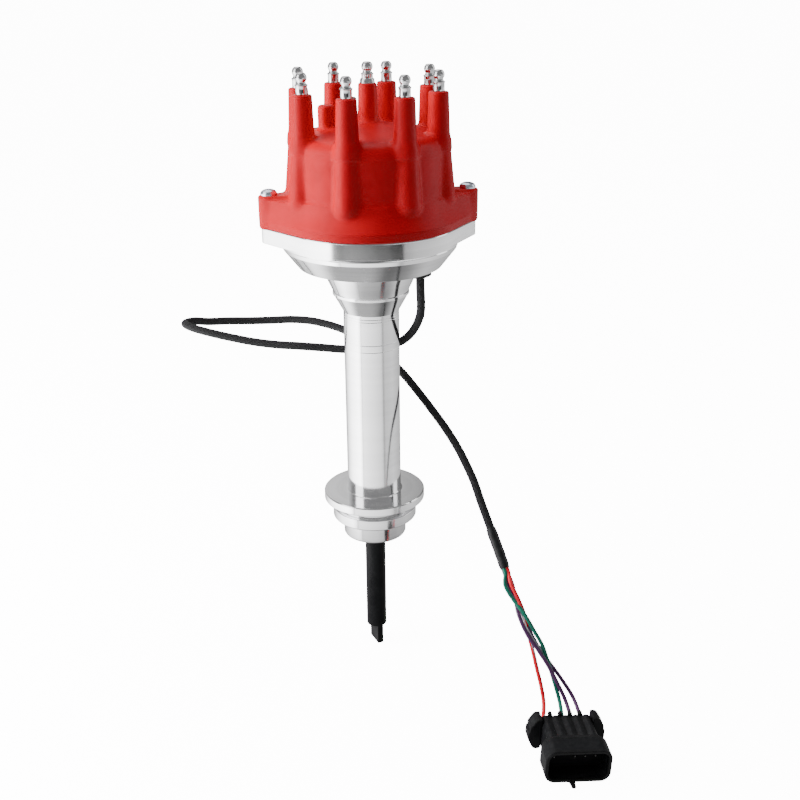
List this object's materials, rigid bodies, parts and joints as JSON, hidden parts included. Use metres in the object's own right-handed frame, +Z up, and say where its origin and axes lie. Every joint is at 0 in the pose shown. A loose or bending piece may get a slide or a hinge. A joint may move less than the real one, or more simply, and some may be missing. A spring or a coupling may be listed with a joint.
{
  "type": "ignition distributor",
  "caption": "Ignition distributor with a flanged turned housing, eared moulded cap with upright terminals, rotor, trigger wheel, tang shaft and a sensor cable with connector.",
  "frame": {"origin": "centre of the clamp flange's underside, on the shaft's axis, where the housing seats on the engine block", "axes": "+Z up along the shaft to the cap, X through the cap's two ears, Y square to both"},
  "size_m": [0.229, 0.2496, 0.3671],
  "materials": {
    "machined_aluminium": "fine turned, bright",
    "bronze": "ground sintered bronze",
    "bearing_steel": "ground",
    "cage_brass": "pressed",
    "black_steel": "black oxide, satin",
    "ring_steel": "spring steel, oiled",
    "plain_steel": "turned",
    "potting": "dark potted board",
    "sensor_plastic": "moulded, matt",
    "screw_zinc": "bluish zinc plate",
    "red_mould": "satin thermoset moulding",
    "contact_brass": "stamped",
    "terminal_chrome": "polished",
    "carbon": "pressed carbon",
    "black_rubber": "matt",
    "braid": "black braided sleeve",
    "shrink": "shrunk sleeve, satin",
    "wire_red": "insulation with a white tracer",
    "wire_green": "insulation",
    "wire_violet": "insulation",
    "wire_violet_white": "insulation with a white tracer",
    "lead_red": "insulation",
    "connector_black": "moulded nylon",
    "seal_blue": "silicone",
    "pin_tin": "tin plate"
  },
  "bodies": {
    "housing_body": {"housing": "machined_aluminium", "lower_bushing": "bronze", "bearing_outer_race": "bearing_steel", "bearing_shields": "ring_steel", "bearing_retaining_ring": "ring_steel", "sensor_board": "potting", "hall_sensors": "sensor_plastic", "sensor_screws": "screw_zinc", "sensor_leads": "lead_red", "cable_grommet": "black_rubber", "cap": "red_mould", "plug_terminals": "terminal_chrome", "plug_contacts": "contact_brass", "coil_terminal": "terminal_chrome", "brush_spring": "plain_steel", "vent_filter": "black_rubber", "cap_screws": "screw_zinc", "pickup_cable": "braid", "cable_end_sleeve": "shrink", "wire_red_white": "wire_red", "wire_green": "wire_green", "wire_violet": "wire_violet", "wire_violet_white": "wire_violet_white", "connector_shell": "connector_black", "connector_lock": "connector_black", "connector_seals": "seal_blue", "connector_pins": "pin_tin"},
    "shaft_body": {"drive_shaft": "black_steel", "bearing_inner_race": "bearing_steel", "shaft_retaining_rings": "ring_steel", "trigger_wheel": "plain_steel", "trigger_set_screw": "black_steel", "rotor_base": "plain_steel", "rotor_base_pin": "bearing_steel", "rotor": "red_mould", "rotor_blade": "contact_brass", "rotor_contact_spring": "contact_brass", "rotor_screws": "screw_zinc"},
    "cage_body": {"bearing_cage": "cage_brass", "bearing_balls": "bearing_steel"},
    "brush_body": {"centre_brush": "carbon"}
  },
  "joints": [
    {"name": "shaft_spin", "type": "hinge", "parent": "housing_body", "child": "shaft_body", "pos_m": [0, 0, 0], "axis": [0, 0, 1], "continuous": true},
    {"name": "cage_spin", "type": "hinge", "parent": "housing_body", "child": "cage_body", "pos_m": [0, 0, 0.15045], "axis": [0, 0, 1], "continuous": true},
    {"name": "brush_slide", "type": "slide", "parent": "housing_body", "child": "brush_body", "axis": [0, 0, 1], "range_m": [0, 0.002], "stiffness_N_per_m": 300, "springref_m": -0.003, "deforming": ["brush_spring"]}
  ],
  "couplings": [
    {"joint": "cage_spin", "follows": "shaft_spin", "ratio": 0.4029}
  ]
}
